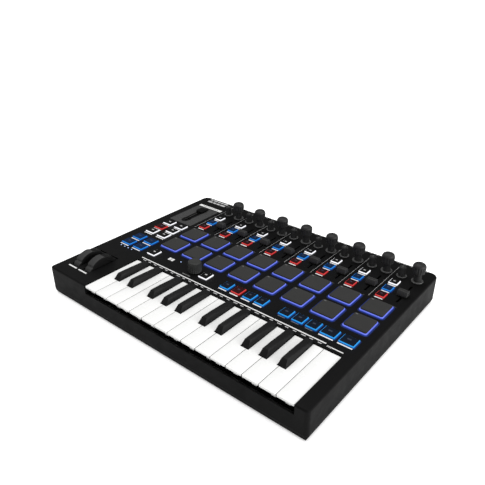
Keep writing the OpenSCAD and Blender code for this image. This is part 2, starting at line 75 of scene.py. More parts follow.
def solids_of(node):
    """Boxes of a CAD node's separate solids, in millimetres, sorted left to right and then front to back."""
    mesh = bmesh.new()
    mesh.from_mesh(frame["nodes"][node].data)
    bmesh.ops.remove_doubles(mesh, verts=mesh.verts, dist=1e-6)
    seen, boxes = set(), []
    for start in mesh.verts:
        if start in seen:
            continue
        seen.add(start)
        group, waiting = [], [start]
        while waiting:
            vert = waiting.pop()
            group.append(vert.co / MM)
            for edge in vert.link_edges:
                other = edge.other_vert(vert)
                if other not in seen:
                    seen.add(other)
                    waiting.append(other)
        boxes.append((Vector(map(min, zip(*group))), Vector(map(max, zip(*group)))))
    mesh.free()
    return sorted(boxes, key=lambda b: (round(b[0].x), round(b[0].y)))


def middle(bounds):
    return (bounds[0].x + bounds[1].x) / 2, (bounds[0].y + bounds[1].y) / 2


case_low, case_high = box("top_cover")
DECK = case_high.z
FLANGE = 0.8  # how far a pad's or button's hidden flange stands out on each side
SEEN_KEY = 73.3  # length of a white key in front of the deck
key_left = box("white_key_1")[0].x
key_right = box("white_key_15")[1].x
key_front = box("white_key_1")[0].y
key_back = key_front + SEEN_KEY


# ---------------------------------------------------------------- node materials

def add_node(tree, kind, settings=None, **inputs):
    """Adds a shader node; an input named Base_Color sets or links the socket "Base Color"."""
    made = tree.nodes.new("ShaderNode" + kind)
    for key, value in (settings or {}).items():
        setattr(made, key, value)
    for key, value in inputs.items():
        connect(tree, made.inputs[key.replace("_", " ")], value)
    return made


def connect(tree, socket, value):
    if isinstance(value, bpy.types.NodeSocket):
        tree.links.new(value, socket)
    else:
        socket.default_value = value


def calc(tree, operation, first, second=0.0, clamp=False):
    made = add_node(tree, "Math", {"operation": operation, "use_clamp": clamp})
    connect(tree, made.inputs[0], first)
    connect(tree, made.inputs[1], second)
    return made.outputs[0]


def blend_color(tree, amount, first, second):
    made = add_node(tree, "Mix", {"data_type": "RGBA"})
    connect(tree, made.inputs[0], amount)
    connect(tree, made.inputs[6], first)
    connect(tree, made.inputs[7], second)
    return made.outputs[2]


def shade(color, factor):
    return tuple(min(1.0, c * factor) for c in color[:3]) + (1.0,)


def new_material(name):
    """An empty node material, with its tree and the object coordinates."""
    material = bpy.data.materials.new(name)
    material.use_nodes = True
    tree = material.node_tree
    tree.nodes.clear()
    return material, tree, add_node(tree, "TexCoord").outputs["Object"]


def output(tree, surface):
    tree.links.new(surface.outputs[0], add_node(tree, "OutputMaterial").inputs[0])


def noise(tree, place, scale, detail, roughness):
    return add_node(tree, "TexNoise", Vector=place, Scale=scale, Detail=detail,
                    Roughness=roughness).outputs[0]


def moulded(name, color, rough, grain, depth, edge=0.3, wear_and_highlight=0.25, gloss=0.3,
            metal=0.0, vary=0.12, sheen=0.0, ribs=None, holes=None, side_shade_paint=1.0):
    """A moulded, rubber or metal surface: fine grain, slow colour and roughness changes, soft edges lightened
    partly as wear and partly as a painted highlight.

    grain is in waves per metre, depth and edge in millimetres. ribs is (axis, waves per metre, depth),
    holes is waves per metre of a grid of dark dots, and the side factor darkens faces that look left or right
    as painted shade.
    """
    material, tree, place = new_material(name)
    fine = noise(tree, place, grain, 3.0, 0.6)
    patches = noise(tree, place, 28.0, 3.0, 0.55)
    smudges = noise(tree, place, 90.0, 4.0, 0.65)

    soft = add_node(tree, "Bevel", {"samples": 4}, Radius=edge * MM).outputs[0]
    true_normal = add_node(tree, "NewGeometry").outputs["Normal"]
    facing = add_node(tree, "VectorMath", {"operation": "DOT_PRODUCT"})
    tree.links.new(soft, facing.inputs[0])
    tree.links.new(true_normal, facing.inputs[1])
    edge_mask = calc(tree, "MULTIPLY", calc(tree, "SUBTRACT", 1.0, facing.outputs["Value"]), 6.0, True)
    edge_mask = calc(tree, "MULTIPLY", edge_mask, calc(tree, "MULTIPLY", smudges, 1.6, True))

    tone = blend_color(tree, patches, shade(color, 1.0 - vary), shade(color, 1.0 + vary))
    tone = blend_color(tree, calc(tree, "MULTIPLY", fine, vary), tone, shade(color, 1.0 + 3.0 * vary))
    # edges lightened towards a paler tone: partly real wear, partly a painted highlight on the rounded edges
    tone = blend_color(tree, calc(tree, "MULTIPLY", edge_mask, wear_and_highlight), tone, shade(color, 2.6))

    parts = add_node(tree, "SeparateXYZ", Vector=place).outputs
    if holes:
        grid = [calc(tree, "SINE", calc(tree, "MULTIPLY", parts[i], holes * math.tau)) for i in (0, 1)]
        dots = calc(tree, "GREATER_THAN", calc(tree, "MULTIPLY", grid[0], grid[1]), 0.1)
        tone = blend_color(tree, dots, tone, shade(color, 0.25))
    # painted shade: faces that look left or right are darkened by the side factor, standing for the shade in
    # the gaps between keys
    if side_shade_paint < 1.0:
        sideways = calc(tree, "ABSOLUTE", add_node(tree, "SeparateXYZ", Vector=true_normal).outputs[0])
        tone = blend_color(tree, calc(tree, "GREATER_THAN", sideways, 0.8), tone, shade(color, side_shade_paint))

    uneven = calc(tree, "MULTIPLY", calc(tree, "SUBTRACT", smudges, 0.5), 0.28)
    roughness = calc(tree, "ADD", rough, uneven, True)
    roughness = calc(tree, "SUBTRACT", roughness, calc(tree, "MULTIPLY", edge_mask, 0.12), True)

    height = fine
    if ribs:
        axis, waves, rib_depth = ribs
        wave = calc(tree, "SINE", calc(tree, "MULTIPLY", parts["XYZ".index(axis)], waves * math.tau))
        height = calc(tree, "ADD", calc(tree, "MULTIPLY", wave, rib_depth / depth), fine)
    bump = add_node(tree, "Bump", Strength=1.0, Distance=depth * MM, Height=height, Normal=soft)

    surface = add_node(tree, "BsdfPrincipled", Base_Color=tone, Roughness=roughness, Metallic=metal,
                       Specular_IOR_Level=gloss, Sheen_Weight=sheen, Normal=bump.outputs[0])
    output(tree, surface)
    return material


def lit(name, deep, bright, strength, low, high):
    """Translucent plastic lit from inside: deep colour at height low, bright colour at height high."""
    material, tree, place = new_material(name)
    height = add_node(tree, "SeparateXYZ", Vector=place).outputs[2]
    rise = add_node(tree, "MapRange", {"interpolation_type": "SMOOTHSTEP"}, Value=height,
                    From_Min=low * MM, From_Max=high * MM).outputs[0]
    cloud = noise(tree, place, 160.0, 3.0, 0.6)
    uneven = calc(tree, "ADD", calc(tree, "MULTIPLY", cloud, 0.5), 0.75)
    color = blend_color(tree, rise, tuple(deep) + (1.0,), tuple(bright) + (1.0,))
    grain = noise(tree, place, 1800.0, 2.0, 0.5)
    bump = add_node(tree, "Bump", Strength=1.0, Distance=0.01 * MM, Height=grain)
    surface = add_node(tree, "BsdfPrincipled", Base_Color=shade(bright, 0.35), Roughness=0.38,
                       Specular_IOR_Level=0.35, Emission_Color=color,
                       Emission_Strength=calc(tree, "MULTIPLY", uneven, strength),
                       Normal=bump.outputs[0])
    output(tree, surface)
    return material


BOARD_SETBACK = 14.6  # from the case's back to the board's back edge
BOARD_DROP = 10.0  # from the deck down to the board's underside
SOCKET_OVERLAP = 13.0  # how far the socket bodies reach in below the board
SOCKET_RIM = 2.6  # length of the sockets' metal rims


def board(name):
    """Green circuit board with copper tracks under the mask, and black sockets with metal rims."""
    material, tree, place = new_material(name)
    cells = add_node(tree, "TexVoronoi", {"feature": "DISTANCE_TO_EDGE", "distance": "EUCLIDEAN"},
                     Vector=place, Scale=220.0).outputs["Distance"]
    tracks = calc(tree, "LESS_THAN", cells, 0.06)
    dust = noise(tree, place, 60.0, 3.0, 0.6)
    tone = blend_color(tree, tracks, (0.008, 0.06, 0.025, 1.0), (0.03, 0.16, 0.06, 1.0))
    tone = blend_color(tree, calc(tree, "MULTIPLY", dust, 0.2), tone, (0.05, 0.09, 0.06, 1.0))

    # black socket bodies behind and below the board, with bright metal rims at the case's back
    parts = add_node(tree, "SeparateXYZ", Vector=place).outputs
    board_edge = case_high.y - BOARD_SETBACK
    behind = calc(tree, "GREATER_THAN", parts[1], board_edge * MM)
    near = calc(tree, "GREATER_THAN", parts[1], (board_edge - SOCKET_OVERLAP) * MM)
    below = calc(tree, "LESS_THAN", parts[2], (DECK - BOARD_DROP - 0.05) * MM)
    socket = calc(tree, "MAXIMUM", behind, calc(tree, "MULTIPLY", near, below))
    rim = calc(tree, "GREATER_THAN", parts[1], (case_high.y - SOCKET_RIM) * MM)
    tone = blend_color(tree, socket, tone, (0.012, 0.012, 0.012, 1.0))
    tone = blend_color(tree, rim, tone, (0.45, 0.45, 0.46, 1.0))
    bump = add_node(tree, "Bump", Strength=0.6, Distance=0.04 * MM, Height=tracks)
    surface = add_node(tree, "BsdfPrincipled", Base_Color=tone, Roughness=calc(tree, "ADD", dust, 0.05),
                       Metallic=rim, Specular_IOR_Level=0.5, Normal=bump.outputs[0])
    output(tree, surface)
    return material


PAPER_GLOW = 0.55  # light that the floor adds where the camera sees it


def paper(name):
    """Pale studio paper with a faint tooth, kept bright where the camera sees it, with a painted contact
    shadow close to the case.
    """
    material, tree, place = new_material(name)
    tooth = noise(tree, place, 300.0, 3.0, 0.6)
    tone = blend_color(tree, tooth, (0.88, 0.88, 0.88, 1.0), (0.92, 0.92, 0.92, 1.0))
    bump = add_node(tree, "Bump", Strength=1.0, Distance=0.01 * MM, Height=tooth)
    seen = add_node(tree, "LightPath").outputs["Is Camera Ray"]
    # painted contact shadow: the camera-only glow fades out where ambient occlusion finds the case within 6
    # mm
    ao_contact_shadow = add_node(tree, "AmbientOcclusion", {"samples": 8}, Distance=6 * MM).outputs["AO"]
    bright = add_node(tree, "MapRange", Value=ao_contact_shadow, From_Min=0.15, From_Max=0.5).outputs[0]
    seen = calc(tree, "MULTIPLY", seen, bright)
    surface = add_node(tree, "BsdfPrincipled", Base_Color=tone, Roughness=0.9, Specular_IOR_Level=0.1,
                       Emission_Color=(1.0, 1.0, 1.0, 1.0),
                       Emission_Strength=calc(tree, "MULTIPLY", seen, PAPER_GLOW), Normal=bump.outputs[0])
    output(tree, surface)
    return material


BLUE_DEEP, BLUE_BRIGHT = (0.005, 0.022, 0.24), (0.135, 0.18, 0.74)
case_plastic = moulded("case_plastic", (0.0046, 0.0046, 0.0047), 0.52, grain=1300, depth=0.03,
                       edge=0.6, wear_and_highlight=0.25, gloss=0.09)
base_plastic = moulded("base_plastic", (0.0046, 0.0046, 0.0047), 0.58, grain=1100, depth=0.035,
                       edge=0.5, wear_and_highlight=0.3, gloss=0.09)
# the white keys' side faces are darkened to 40 percent as painted shade for the gaps between keys
white_plastic = moulded("white_key_plastic", (0.93, 0.93, 0.92), 0.26, grain=500, depth=0.001,
                        edge=0.35, wear_and_highlight=0.0, gloss=0.3, vary=0.008, side_shade_paint=0.4)
black_plastic = moulded("black_key_plastic", (0.008, 0.008, 0.008), 0.48, grain=1600, depth=0.014,
                        edge=0.35, wear_and_highlight=0.5, gloss=0.2)
pad_rubber = moulded("pad_rubber", (0.026, 0.026, 0.0255), 0.78, grain=2000, depth=0.02,
                     edge=0.6, wear_and_highlight=0.15, gloss=0.2, sheen=0.05)
knob_rubber = moulded("knob_rubber", (0.019, 0.019, 0.019), 0.5, grain=1800, depth=0.015,
                      edge=0.3, wear_and_highlight=0.5, gloss=0.32)
knob_skirt = moulded("knob_skirt", (0.09, 0.09, 0.09), 0.3, grain=1500, depth=0.008,
                     edge=0.25, wear_and_highlight=0.5, gloss=0.6)
encoder_plastic = moulded("encoder_plastic", (0.03, 0.031, 0.03), 0.5, grain=1800, depth=0.012,
                          edge=0.3, wear_and_highlight=0.4, gloss=0.3)
wheel_rubber = moulded("wheel_rubber", (0.008, 0.008, 0.008), 0.6, grain=1700, depth=0.02,
                       edge=0.4, wear_and_highlight=0.35, gloss=0.12)
# a lighter copy of the wheel rubber: painted light on the upper front of the tread, which faces the lamps
painted_lit_tread_rubber = moulded("painted_lit_tread_rubber", (0.042, 0.042, 0.042), 0.6, grain=1700, depth=0.02,
                      edge=0.4, wear_and_highlight=0.35, gloss=0.2)
fader_plastic = moulded("fader_plastic", (0.028, 0.028, 0.028), 0.45, grain=1700, depth=0.014,
                        edge=0.35, wear_and_highlight=0.4, gloss=0.35)
plate_plastic = moulded("plate_plastic", (0.075, 0.075, 0.075), 0.6, grain=1500, depth=0.03,
                        edge=0.2, wear_and_highlight=0.3, gloss=0.2, holes=480.0)
frame_plastic = moulded("frame_plastic", (0.09, 0.09, 0.095), 0.6, grain=900, depth=0.03, wear_and_highlight=0.2)
key_frame_plastic = moulded("key_frame_plastic", (0.0022, 0.0022, 0.0023), 0.8, grain=900, depth=0.03,
                            wear_and_highlight=0.1, gloss=0.02)
silicone = moulded("silicone", (0.42, 0.42, 0.38), 0.7, grain=1200, depth=0.01, gloss=0.3, sheen=0.1)
ground_steel = moulded("ground_steel", (0.55, 0.55, 0.56), 0.3, grain=2500, depth=0.004, metal=1.0,
                       gloss=0.5, ribs=("X", 4000.0, 0.002))
pressed_steel = moulded("pressed_steel", (0.42, 0.43, 0.45), 0.36, grain=1400, depth=0.01, metal=1.0,
                        gloss=0.5)
black_oxide = moulded("black_oxide", (0.03, 0.03, 0.032), 0.42, grain=1500, depth=0.01, metal=0.8,
                      wear_and_highlight=0.6, gloss=0.5)
foot_rubber = moulded("foot_rubber", (0.014, 0.014, 0.014), 0.85, grain=900, depth=0.04, gloss=0.2)
white_ink = moulded("white_ink", (0.8, 0.8, 0.79), 0.5, grain=1500, depth=0.004, edge=0.02,
                    wear_and_highlight=0.0, gloss=0.3, vary=0.04)
grey_ink = moulded("grey_ink", (0.16, 0.16, 0.155), 0.55, grain=1500, depth=0.004, edge=0.02,
                   wear_and_highlight=0.0, gloss=0.3, vary=0.08)
dim_ink = moulded("dim_ink", (0.035, 0.045, 0.07), 0.55, grain=1500, depth=0.004, edge=0.02,
                  wear_and_highlight=0.0, gloss=0.2, vary=0.08)
# silver ink for print, also used for the painted highlight along the deck's back edge
silver_ink_and_highlight_paint = moulded("silver_ink_and_highlight_paint", (0.5, 0.5, 0.5), 0.45, grain=1500, depth=0.004, edge=0.02,
                     wear_and_highlight=0.0, gloss=0.4, vary=0.1)
# black plastic for the plate's fader cap, also used as painted shade round the plate's slot
cap_plastic_and_slot_shade = moulded("cap_plastic_and_slot_shade", (0.003, 0.003, 0.003), 0.6, grain=1700, depth=0.014,
                            edge=0.35, wear_and_highlight=0.4, gloss=0.08)
circuit_green = board("circuit_green")
pad_light = lit("pad_light", BLUE_DEEP, BLUE_BRIGHT, 1.0, DECK, DECK + 1.5)
blue_spill = lit("blue_spill", (0.0, 0.004, 0.03), (0.004, 0.018, 0.13), 1.0, DECK, DECK + 0.06)
LIGHTS = {
    "white": lit("light_white", (0.10, 0.10, 0.11), (0.92, 0.93, 0.97), 1.05, DECK + 0.1, DECK + 1.2),
    "blue": lit("light_blue", (0.0, 0.03, 0.18), (0.010, 0.19, 0.62), 1.0, DECK, DECK + 1.4),
    "cyan": lit("light_cyan", (0.0, 0.05, 0.22), (0.014, 0.26, 0.68), 1.0, DECK, DECK + 1.4),
    "red": lit("light_red", (0.12, 0.004, 0.004), (0.55, 0.035, 0.035), 1.0, DECK, DECK + 1.4),
}
lamp_light = lit("lamp_light", (0.1, 0.16, 0.4), (0.45, 0.6, 0.95), 1.0, DECK - 0.2, DECK + 0.3)
CAPS = {
    "white": moulded("cap_clear", (0.006, 0.006, 0.0063), 0.45, grain=1700, depth=0.01, edge=0.25,
                     wear_and_highlight=0.35, gloss=0.08),
    "blue": moulded("cap_blue", (0.003, 0.017, 0.060), 0.45, grain=1700, depth=0.01, edge=0.25,
                    wear_and_highlight=0.2, gloss=0.08),
    "red": moulded("cap_red", (0.028, 0.004, 0.005), 0.45, grain=1700, depth=0.01, edge=0.25,
                   wear_and_highlight=0.2, gloss=0.08),
}
CAPS["cyan"] = moulded("cap_cyan", (0.004, 0.008, 0.018), 0.45, grain=1700, depth=0.01, edge=0.25,
                       wear_and_highlight=0.2, gloss=0.08)


# ---------------------------------------------------------------- mesh helpers

def publish(name, mesh, body, material, crease=35.0):
    """Turns a bmesh in millimetres into a piece that rides on a CAD body."""
    bmesh.ops.recalc_face_normals(mesh, faces=mesh.faces)
    bmesh.ops.scale(mesh, vec=(MM, MM, MM), verts=mesh.verts)
    data = bpy.data.meshes.new(name)
    mesh.to_mesh(data)
    mesh.free()
    data.shade_smooth()
    data.set_sharp_from_angle(angle=math.radians(crease))
    data.materials.append(material)
    piece = bpy.data.objects.new(name, data)
    bpy.context.scene.collection.objects.link(piece)
    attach(piece, body)
    return piece


def loft(mesh, loops, ring=False):
    """Joins closed loops of points into a skin, capped at both ends or closed into a ring."""
    rows = [[mesh.verts.new(point) for point in loop] for loop in loops]
    pairs = list(zip(rows, rows[1:]))
    if ring:
        pairs.append((rows[-1], rows[0]))
    for below, above in pairs:
        count = len(below)
        for i in range(count):
            j = (i + 1) % count
            mesh.faces.new((below[i], below[j], above[j], above[i]))
    if not ring:
        mesh.faces.new(rows[0][::-1])
        mesh.faces.new(rows[-1])


CORNER_STEPS = 5


def rounded_loop(x, y, z, w, d, r):
    """A level rectangle with round corners, centred on x, y."""
    loop = []
    for side_x, side_y, start in ((1, 1, 0), (-1, 1, 90), (-1, -1, 180), (1, -1, 270)):
        for k in range(CORNER_STEPS + 1):
            a = math.radians(start + 90 * k / CORNER_STEPS)
            loop.append((x + side_x * (w / 2 - r) + r * math.cos(a),
                         y + side_y * (d / 2 - r) + r * math.sin(a), z))
    return loop


def soft_block(mesh, x, y, w, d, r, profile):
    """A block whose loops follow profile, a list of (how far in from the side, height)."""
    loft(mesh, [rounded_loop(x, y, z, w - 2 * inset, d - 2 * inset, max(r - inset, 0.15))
                for inset, z in profile])


def plain_block(mesh, low, high):
    x, y = (low[0] + high[0]) / 2, (low[1] + high[1]) / 2
    w, d = high[0] - low[0], high[1] - low[1]
    loft(mesh, [[(x - w / 2, y - d / 2, z), (x + w / 2, y - d / 2, z),
                 (x + w / 2, y + d / 2, z), (x - w / 2, y + d / 2, z)] for z in (low[2], high[2])])


def turned(mesh, x, y, profile, steps, flutes=0, depth=0.0, zone=(0.0, 0.0)):
    """A turned shape from a profile of (radius, height), with flutes cut between two heights."""
    loops = []
    for radius, z in profile:
        loop = []
        for i in range(steps):
            a = math.tau * i / steps
            cut = depth * (0.5 - 0.5 * math.cos(a * flutes)) if zone[0] <= z <= zone[1] else 0.0
            loop.append((x + (radius - cut) * math.cos(a), y + (radius - cut) * math.sin(a), z))
        loops.append(loop)
    loft(mesh, loops)


def softened(node, name, width, material):
    """A copy of a CAD node's shape with its sharp edges rounded off, standing for that node."""
    mesh = bmesh.new()
    mesh.from_mesh(frame["nodes"][node].data)
    bmesh.ops.scale(mesh, vec=(1 / MM, 1 / MM, 1 / MM), verts=mesh.verts)
    bmesh.ops.remove_doubles(mesh, verts=mesh.verts, dist=1e-3)
    bmesh.ops.dissolve_limit(mesh, angle_limit=math.radians(1), verts=mesh.verts, edges=mesh.edges)
    sharp = [e for e in mesh.edges if len(e.link_faces) == 2 and e.calc_face_angle(0) > math.radians(30)]
    bmesh.ops.bevel(mesh, geom=sharp, offset=width, offset_type="OFFSET", segments=3,
                    profile=0.5, affect="EDGES", clamp_overlap=True)
    piece = publish(name, mesh, node, material)
    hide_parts(node)


# ---------------------------------------------------------------- CAD nodes that keep their shape

def finish_node(node, material):
    mesh = frame["nodes"][node].data
    mesh.materials.clear()
    mesh.materials.append(material)


finish_node("top_cover", case_plastic)
finish_node("bottom_cover", base_plastic)
finish_node("key_frame", key_frame_plastic)
finish_node("key_shaft", ground_steel)
finish_node("contact_strip", silicone)
finish_node("circuit_boards", circuit_green)
finish_node("control_pots", pressed_steel)
finish_node("wheel_bracket", frame_plastic)
finish_node("fader_plate", plate_plastic)
finish_node("screws", black_oxide)
finish_node("feet", foot_rubber)


# ---------------------------------------------------------------- keys

for n in range(1, 16):
    softened(f"white_key_{n}", f"white_key_{n}_moulding", 0.3, white_plastic)
for n in range(1, 11):
    softened(f"black_key_{n}", f"black_key_{n}_moulding", 0.3, black_plastic)


# ---------------------------------------------------------------- pads

def spill(mesh, x, y, w, d, r, reach):
    """A flat ring on the deck round a lit part with corner radius r, where its light falls."""
    loops = [rounded_loop(x, y, z, w + 2 * out, d + 2 * out, r + out)
             for out, z in ((0.1, DECK - 0.1), (0.1, DECK + 0.05), (reach, DECK + 0.02), (reach, DECK - 0.1))]
    loft(mesh, loops, ring=True)


rims, tops, spills, signs = bmesh.new(), bmesh.new(), bmesh.new(), bmesh.new()
for low, high in solids_of("pads"):
    x, y = middle((low, high))
    w, d = high.x - low.x - 2 * FLANGE, high.y - low.y - 2 * FLANGE
    spill(spills, x, y, w, d, 2.0, 1.6)
    soft_block(rims, x, y, w, d, 2.0, [
        (0.3, low.z), (0.3, DECK - 0.2), (0.0, DECK + 0.1), (0.0, DECK + 1.0), (0.25, DECK + 1.45),
        (0.7, DECK + 1.6), (1.4, DECK + 1.55)])
    soft_block(tops, x, y, w - 1.6, d - 1.6, 1.8, [
        (0.2, DECK + 1.2), (0.0, DECK + 1.6), (0.0, high.z - 0.75), (0.22, high.z - 0.25),
        (0.75, high.z - 0.02), (3.0, high.z), (8.0, high.z)])
    plain_block(signs, (x - w / 2 + 2.6, y + d / 2 - 3.6, high.z - 0.1),
                (x - w / 2 + 5.0, y + d / 2 - 2.7, high.z + 0.02))
rim_piece = publish("pad_lit_rims", rims, "pads", pad_light)
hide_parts("pads")
publish("pad_rubber_tops", tops, "pads", pad_rubber)
publish("pad_marks", signs, "pads", grey_ink)


# ---------------------------------------------------------------- lit buttons

def lit_buttons(node, colors):
    """Dark caps on light guides of the listed colours, one for each solid of the node."""
    guides = {color: bmesh.new() for color in sorted(set(colors))}
    caps = {color: bmesh.new() for color in guides}
    marks = {color: bmesh.new() for color in guides}
    places = solids_of(node)
    for (low, high), color in zip(places, colors):
        x, y = middle((low, high))
        w, d = high.x - low.x - 2 * FLANGE, high.y - low.y - 2 * FLANGE
        top = high.z
        if color in ("blue", "cyan"):
            spill(spills, x, y, w, d, 0.6, 1.1)
        soft_block(guides[color], x, y, w, d, 0.6, [
            (0.3, low.z), (0.3, DECK - 0.2), (0.0, DECK + 0.1), (0.0, top - 0.75),
            (0.15, top - 0.55), (1.2, top - 0.5)])
        soft_block(caps[color], x - 0.15, y + 0.15, w - 1.5, d - 1.5, 0.5, [
            (0.0, top - 0.7), (0.0, top - 0.3), (0.12, top - 0.08), (0.4, top), (1.6, top)])
        plain_block(marks[color], (x - w * 0.16, y, top - 0.1), (x + w * 0.10, y + d * 0.14, top + 0.02))
    for color, guide in guides.items():
        piece = publish(f"{node}_{color}_guides", guide, node, LIGHTS[color])
    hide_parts(node)
    for color, cap in caps.items():
        publish(f"{node}_{color}_caps", cap, node, CAPS[color])
    for color, sign in marks.items():
        ink = silver_ink_and_highlight_paint if color == "white" else dim_ink
        publish(f"{node}_{color}_marks", sign, node, ink)
    return places


channel_places = lit_buttons("channel_buttons", ["red", "blue", "white"] * 8)
deck_colors = (
    ["blue", "blue", "white", "red", "white"]
    + ["blue", "blue", "white", "white", "white"]
    + ["white", "white", "cyan", "red", "cyan", "cyan"]
    + ["cyan"] * 5
)
deck_places = lit_buttons("deck_buttons", deck_colors)
publish("light_spill", spills, "base", blue_spill)


# ---------------------------------------------------------------- knobs

STEM_R = 3.0


def stem_profile(low):
    """The hidden stem that every knob's outline starts with."""
    return [(STEM_R - 0.4, low), (STEM_R, low + 0.4), (STEM_R, DECK + 0.3)]


def tall_knob(n):
    node = f"tall_knob_{n}"
    low, high = box(node)
    x, y = middle((low, high))
    r, top = (high.x - low.x) / 2, high.z
    mesh = bmesh.new()
    turned(mesh, x, y, stem_profile(low.z) + [
        (3.6, DECK + 1.2), (4.3, DECK + 2.0), (4.2, DECK + 5.0), (3.9, DECK + 9.0), (4.4, DECK + 11.0),
        (r - 1.2, DECK + 11.4), (r - 0.6, DECK + 12.0), (r - 0.35, DECK + 13.4), (r, top - 6.0),
        (r, top - 4.6), (r - 0.2, top - 3.4), (r - 0.7, top - 2.2), (r - 1.6, top - 1.2),
        (r - 3.0, top - 0.45), (r - 4.6, top - 0.1), (0.3, top)],
        steps=96, flutes=16, depth=0.75, zone=(DECK + 12.2, top - 3.8))
    piece = publish(f"{node}_cap", mesh, node, knob_rubber)
    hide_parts(node)
    knob_base(node, x, y, r - 0.8)
    pointer(node, x, y, r - 1.4, top - 0.15, 3.4)


def small_knob(n):
    node = f"small_knob_{n}"
    low, high = box(node)
    x, y = middle((low, high))
    r, top = (high.x - low.x) / 2, high.z
    mesh = bmesh.new()
    turned(mesh, x, y, stem_profile(low.z) + [
        (3.6, DECK + 1.2), (r - 1.7, DECK + 1.8), (r - 1.55, DECK + 2.6), (r - 1.6, DECK + 5.0),
        (r - 1.8, top - 2.2), (r - 2.0, top - 1.1), (r - 2.5, top - 0.4), (r - 3.2, top - 0.05),
        (0.3, top)],
        steps=80, flutes=16, depth=0.35, zone=(DECK + 2.3, top - 2.0))
    piece = publish(f"{node}_cap", mesh, node, knob_rubber)
    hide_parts(node)
    knob_base(node, x, y, r)
    pointer(node, x, y, r - 2.0, top, 2.4)


def knob_base(node, x, y, r):
    """The dished skirt ring at the foot of a knob."""
    mesh = bmesh.new()
    turned(mesh, x, y, [
        (3.4, DECK + 0.4), (r - 0.3, DECK + 0.4), (r, DECK + 0.65), (r, DECK + 1.2), (r - 0.25, DECK + 1.5),
        (r - 0.6, DECK + 1.45), (r - 1.5, DECK + 1.15), (3.6, DECK + 1.25)], steps=64)
    publish(f"{node}_skirt", mesh, node, knob_skirt)


def pointer(node, x, y, r, top, length):
    """The grey pointer line on a knob's top, over the CAD's notch."""
    mesh = bmesh.new()
    plain_block(mesh, (x - 0.4, y + r - 2.0 - length, top - 0.35), (x + 0.4, y + r - 2.0, top + 0.02))
    publish(f"{node}_pointer", mesh, node, grey_ink)


for n in range(1, 9):
    tall_knob(n)
    small_knob(n)

low, high = box("encoder_knob")
encoder_x, encoder_y = middle((low, high))
encoder_r = (high.x - low.x) / 2
mesh = bmesh.new()
turned(mesh, encoder_x, encoder_y, stem_profile(low.z) + [
    (4.0, DECK + 0.5), (encoder_r - 0.3, DECK + 0.6), (encoder_r, DECK + 1.0), (encoder_r, DECK + 1.6),
    (encoder_r - 0.05, DECK + 6.0), (encoder_r - 0.3, high.z - 1.8), (encoder_r - 0.6, high.z - 1.0),
    (encoder_r - 1.2, high.z - 0.3), (encoder_r - 2.0, high.z), (encoder_r - 2.6, high.z - 0.15),
    (0.3, high.z - 0.2)], steps=144, flutes=24, depth=0.5, zone=(DECK + 1.3, high.z - 1.2))
piece = publish("encoder_knob_cap", mesh, "encoder_knob", encoder_plastic)
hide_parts("encoder_knob")


# ---------------------------------------------------------------- wheels

def thumb_wheel(node):
    """A sector wheel with a finely ribbed tread, two grooves, a finger dish and dished sides."""
    low, high = box(node)
    joint = next(j for j in frame["joints"] if j["child"] == node)
    x = (low.x + high.x) / 2
    y, z = joint["pos_m"][1] / MM, joint["pos_m"][2] / MM
    r, half = high.z - z, (high.x - low.x) / 2
    flat = z - low.z
    bore, hub_r, web_r, web_in = 2.05, 6.4, 16.4, 1.3
    steps, ribs = 480, 100
    grooves = (math.radians(44.5), math.radians(135.5))
    dish_angle, dish_r, dish_depth = math.radians(76), 9.0, 1.2
    # the band of tread that gets the painted light
    painted_lit_start, painted_lit_end = dish_angle + 0.1, math.radians(165)
    far = r + dish_r - dish_depth

    def tread_cut(a, radius):
        cut = 0.14 * (0.5 - 0.5 * math.cos(a * ribs)) if 0 < a < math.pi else 0.0
        for groove in grooves:
            cut += 1.3 * math.exp(-(((a - groove) * radius / 1.5) ** 2))
        across = far * math.sin(a - dish_angle)
        if abs(across) < dish_r and math.cos(a - dish_angle) > 0:
            dished = far * math.cos(a - dish_angle) - math.sqrt(dish_r ** 2 - across ** 2)
            cut = max(cut, radius - dished)
        return cut

    def loop(side, radius, tread):
        points = []
        for i in range(steps):
            a = math.tau * i / steps
            limit = min(r, flat / -math.sin(a)) if math.sin(a) < -1e-6 else r
            rr = bore + (radius - bore) * (limit - bore) / (r - bore)
            if math.sin(a) > -0.1:
                rr -= tread * tread_cut(a, radius)
            points.append((x + side, y + rr * math.cos(a), z + rr * math.sin(a)))
        return points

    # (radius, how far in from the side, share of the tread's cuts) from the bore out to the tread
    outline = [(bore, 0, 0), (hub_r, 0, 0), (hub_r + 0.6, web_in, 0), (web_r, web_in, 0), (web_r + 0.6, 0, 0),
               (r - 1.9, 0, 0.1), (r - 0.9, 0, 0.9), (r - 0.3, 0.3, 1), (r, 0.9, 1)]
    profile = [(radius, inset - half, tread) for radius, inset, tread in outline]
    profile += [(radius, half - inset, tread) for radius, inset, tread in reversed(outline)]
    mesh = bmesh.new()
    loft(mesh, [loop(side, radius, tread) for radius, side, tread in profile], ring=True)
    piece = publish(f"{node}_tyre", mesh, node, wheel_rubber, crease=50.0)
    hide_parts(node)
    # painted light: tread faces on the upper front take the lighter copy of the rubber
    piece.data.materials.append(painted_lit_tread_rubber)
    for face in piece.data.polygons:
        centre = face.center / MM
        a = math.atan2(centre.z - z, centre.y - y)
        tread = math.hypot(centre.z - z, centre.y - y) > r - 1.8
        if tread and abs(centre.x - x) < half - 0.2 and painted_lit_start < a < painted_lit_end:
            face.material_index = 1


thumb_wheel("pitch_wheel")
thumb_wheel("mod_wheel")


# ---------------------------------------------------------------- faders

softened("channel_faders", "channel_fader_caps", 0.35, fader_plastic)
softened("plate_fader", "plate_fader_cap", 0.35, cap_plastic_and_slot_shade)


